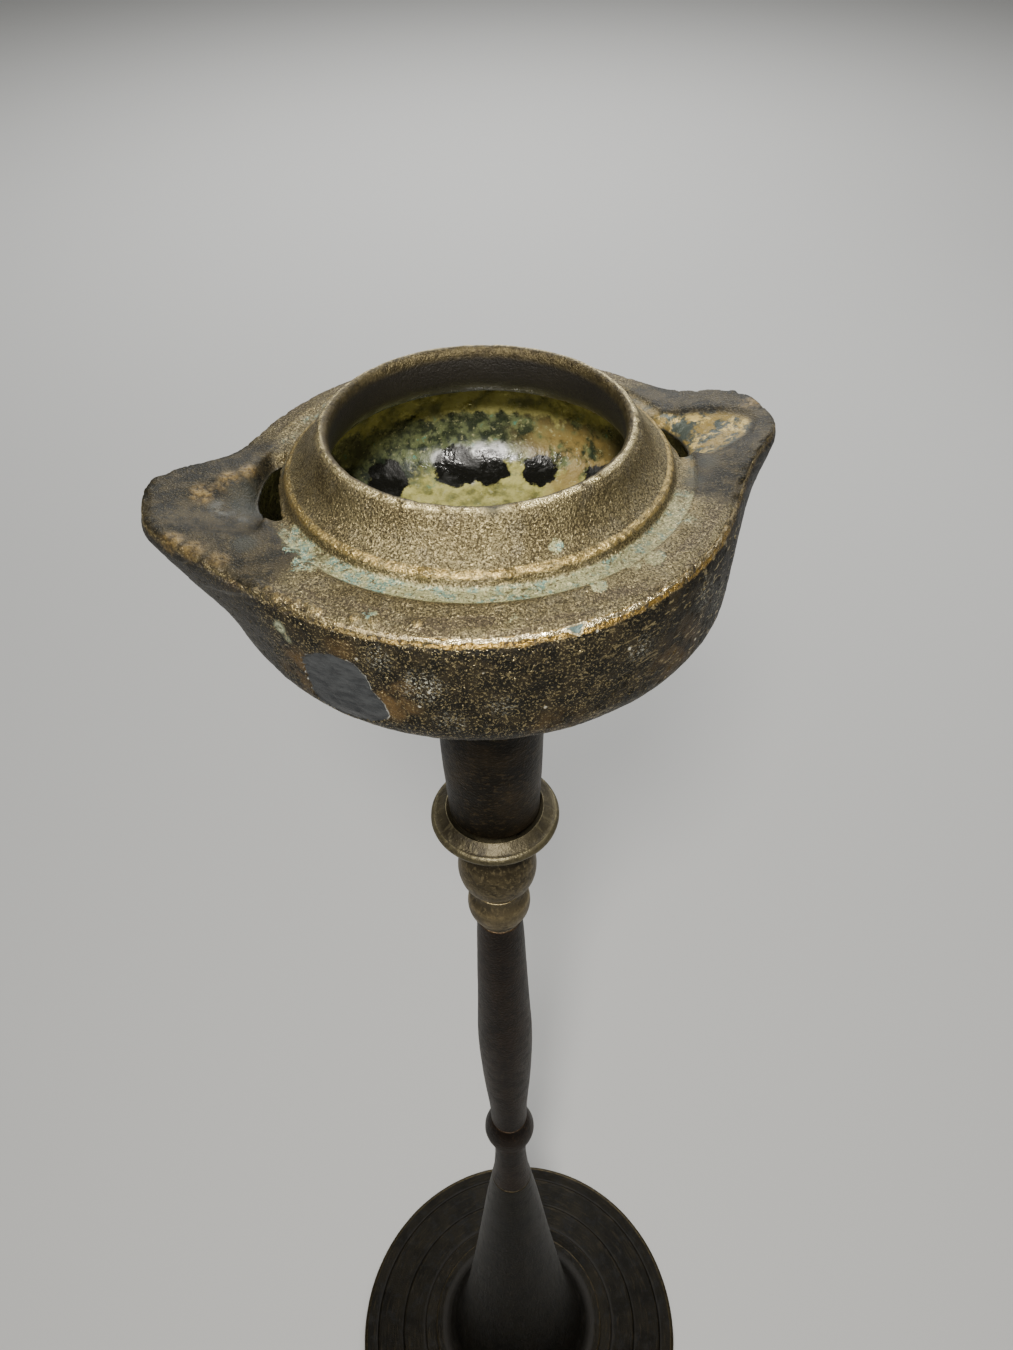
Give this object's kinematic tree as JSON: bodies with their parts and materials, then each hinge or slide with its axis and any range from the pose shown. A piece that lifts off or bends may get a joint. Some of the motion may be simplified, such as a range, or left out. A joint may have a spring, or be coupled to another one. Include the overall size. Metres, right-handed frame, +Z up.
{
  "type": "oil lamp on lampstand",
  "caption": "Round bronze oil lamp with opposed open nozzles and a collared filling mouth, standing on the pricket of a tall turned lampstand with a round base disc.",
  "frame": {"origin": "under the middle of the base disc, on the face the stand rests on", "axes": "+Z up along the stand, one nozzle points along +X and the other along -X"},
  "size_m": [0.1686, 0.1686, 0.56],
  "materials": {
    "lamp_bronze": "old cast bronze, olive brown, golden on worn edges, blue-green verdigris in the hollows",
    "stand_bronze": "dark reddish-brown patinated bronze, worn golden on the rings",
    "base_bronze": "nearly black olive patinated bronze, dull satin",
    "forged_iron": "forged iron, dark and dull"
  },
  "bodies": {
    "stand": {"base_disc": "base_bronze", "foot_bell": "base_bronze", "stem": "stand_bronze", "knop": "stand_bronze", "shaft": "stand_bronze", "lower_bead": "stand_bronze", "upper_bead": "stand_bronze", "drip_pan": "stand_bronze", "pricket": "forged_iron", "core_rod": "forged_iron", "rod_washer": "forged_iron", "rod_nut": "forged_iron"},
    "lamp": {"lamp_body": "lamp_bronze", "lamp_foot": "lamp_bronze", "pricket_socket": "lamp_bronze"}
  },
  "joints": [
    {"name": "lamp_lift", "type": "slide", "parent": "stand", "child": "lamp", "axis": [0, 0, 1], "range_m": [0, 0.1]}
  ]
}
